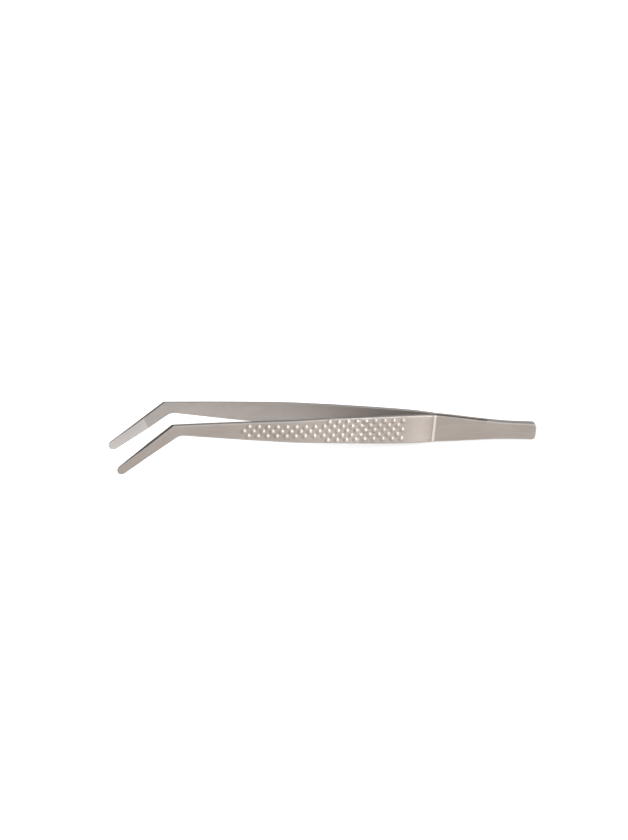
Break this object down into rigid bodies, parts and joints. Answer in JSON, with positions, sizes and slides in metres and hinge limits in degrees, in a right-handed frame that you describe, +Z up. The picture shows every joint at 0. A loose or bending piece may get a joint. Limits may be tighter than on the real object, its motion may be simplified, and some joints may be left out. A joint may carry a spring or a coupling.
{
  "type": "stamp tongs",
  "caption": "Sprung steel stamp tongs with bent spade tips, ground jaw pads, studded grips and a welded heel, standing on tips and heel.",
  "frame": {"origin": "on the surface the tongs stand on, under the middle of their box", "axes": "+X towards the heel, the tips at -X; +Y across from the left arm to the right one, the closing direction; +Z up, standing on both tip ends and the heel"},
  "size_m": [0.1208, 0.0198, 0.0136],
  "materials": {
    "satin_steel": "satin, finely brushed along the blades",
    "spacer_steel": "matt, ground edges"
  },
  "bodies": {
    "heel": {"left_spring_leaf": "satin_steel", "right_spring_leaf": "satin_steel", "heel_spacer": "spacer_steel", "rear_weld_nugget": "spacer_steel", "front_weld_nugget": "spacer_steel"},
    "left_arm": {"left_arm": "satin_steel"},
    "right_arm": {"right_arm": "satin_steel"}
  },
  "joints": [
    {"name": "left_arm_flex", "type": "hinge", "parent": "heel", "child": "left_arm", "pos_m": [0.03118, -0.00077, 0.00508], "axis": [-0.094, 0, -0.9956], "range_deg": [0, 5.96], "stiffness_Nm_per_rad": 1},
    {"name": "right_arm_flex", "type": "hinge", "parent": "heel", "child": "right_arm", "pos_m": [0.03118, 0.00077, 0.00508], "axis": [0.094, 0, 0.9956], "range_deg": [0, 5.96], "stiffness_Nm_per_rad": 1}
  ],
  "couplings": [
    {"joint": "right_arm_flex", "follows": "left_arm_flex", "ratio": 1}
  ]
}
